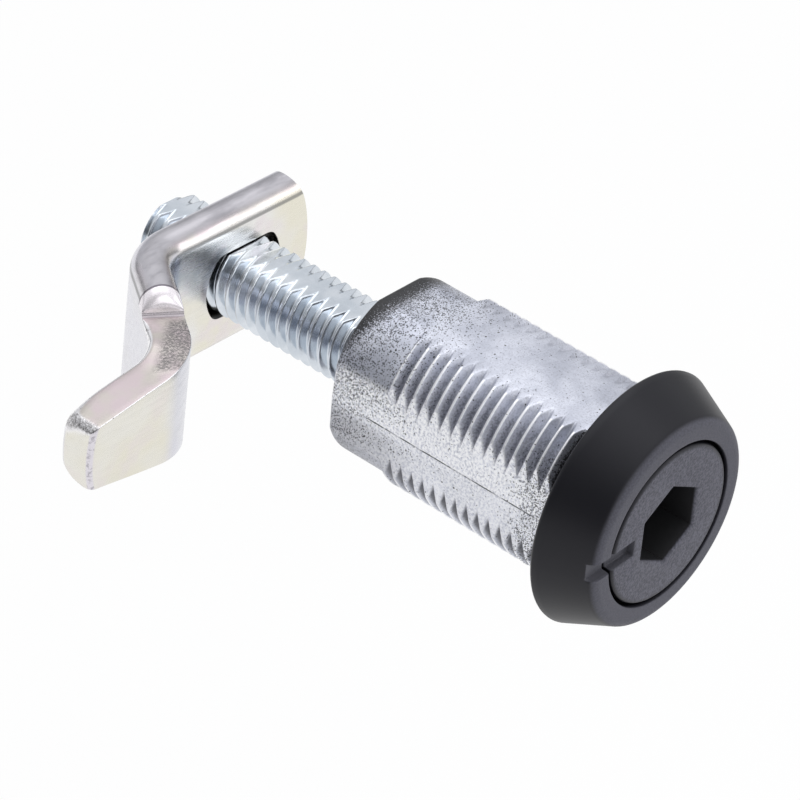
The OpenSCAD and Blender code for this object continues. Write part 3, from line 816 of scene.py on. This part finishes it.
# CAD pieces that keep their shape
RING_STEEL = plated("ring_steel", (0.22, 0.22, 0.23, 1), (0.14, 0.14, 0.15, 1), (0.35, 0.5), 3000)
BUSH_ZINC = plated("bush_zinc", (0.56, 0.57, 0.59, 1), (0.44, 0.45, 0.48, 1), (0.34, 0.5), 2600)
PIN_STEEL = plated("pin_steel", (0.68, 0.69, 0.71, 1), (0.6, 0.61, 0.63, 1), (0.15, 0.26), 2000, (1, 8, 8))
finishes = {
    "plug_o_ring": rubber("seal_rubber"), "guide_bush": BUSH_ZINC, "cross_pin": PIN_STEEL,
    "plug_retaining_ring": RING_STEEL, "bush_retaining_ring": RING_STEEL,
}
for name, material in finishes.items():
    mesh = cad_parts[name].data
    mesh.materials.clear()
    mesh.materials.append(material)

# Camera, as fitted to the photograph
camera = bpy.data.objects.new("camera", bpy.data.cameras.new("camera"))
bpy.context.scene.collection.objects.link(camera)
right, up, back = (0.65668, -0.74713, 0.10280), (0.37360, 0.44068, 0.81623), (-0.65513, -0.49759, 0.56851)
view = Matrix((right, up, back)).transposed().to_4x4()
view.translation = (-0.302396, -0.200087, 0.258444)
camera.matrix_world = view
camera.data.sensor_width, camera.data.lens = 36, 195.2
camera.data.clip_start, camera.data.clip_end = 0.01, 20
bpy.context.scene.camera = camera

# Floor, light and surroundings
FLOOR_Z, FLOOR_HALF = -0.09, 6
DARK_SIDE = (-0.95, -0.3, 0.1)
floor_mesh = bpy.data.meshes.new("floor")
corners = [(FLOOR_HALF * a, FLOOR_HALF * b, FLOOR_Z) for a, b in ((-1, -1), (1, -1), (1, 1), (-1, 1))]
floor_mesh.from_pydata(corners, [], [(0, 1, 2, 3)])
floor = bpy.data.objects.new("floor", floor_mesh)
bpy.context.scene.collection.objects.link(floor)

# White where it is seen directly, in mirrors and in glass
g = Graph(bpy.data.materials.new("floor_white"))
floor_mesh.materials.append(g.set(Base_Color=(0.9, 0.9, 0.9, 1), Roughness=0.8))
path = g.add("ShaderNodeLightPath").outputs
seen = g.most(path["Is Camera Ray"], path["Is Glossy Ray"], path["Is Transmission Ray"])
glow = g.add("ShaderNodeEmission", {"Color": (1, 1, 1, 1), "Strength": 1.0}).outputs[0]
matt = g.tree.nodes["Principled BSDF"].outputs[0]
blend = g.add("ShaderNodeMixShader", {0: g.times(seen, 0.9), 1: matt, 2: glow})
g.put(g.tree.nodes["Material Output"].inputs[0], blend.outputs[0])

# A bright room, darker on one side and in a band above the floor
g = Graph(bpy.data.worlds.new("studio"))
bpy.context.scene.world = g.owner
direction = g.where["Generated"]
height = g.axis("Z", direction)
lean = g.add("ShaderNodeVectorMath", {0: direction, 1: DARK_SIDE}, operation="DOT_PRODUCT").outputs["Value"]
clear = g.most(g.ramp(height, 0.14, 0.3), g.ramp(height, 0.03, -0.05))
room = g.times(g.ramp(clear, 0, 1, 0.4, 1), g.ramp(lean, 0.3, 0.95, 0.85, 0.14))
sky = g.tree.nodes["Background"].inputs
g.put(sky["Color"], (0.97, 0.98, 1, 1))
g.put(sky["Strength"], room)


def softbox(name, place, target, size, power):
    lamp = bpy.data.lights.new(name, "AREA")
    lamp.shape, lamp.size, lamp.size_y, lamp.energy = "RECTANGLE", size[0], size[1], power
    box = bpy.data.objects.new(name, lamp)
    bpy.context.scene.collection.objects.link(box)
    away = (Vector(place) - Vector(target)).normalized()
    box.rotation_mode = "QUATERNION"
    box.location, box.rotation_quaternion = place, away.to_track_quat("Z", "Y")


MIDDLE = (-0.01, 0.028, 0)
softbox("key", (0.05, 0.15, 0.8), MIDDLE, (0.9, 0.9), 2.6)
softbox("fill", (0.4, -0.55, 0.25), MIDDLE, (0.45, 0.45), 0.8)
softbox("front", (-0.21, -0.52, 0.31), MIDDLE, (0.35, 0.45), 0.55)
bpy.context.scene.view_settings.view_transform = "Standard"
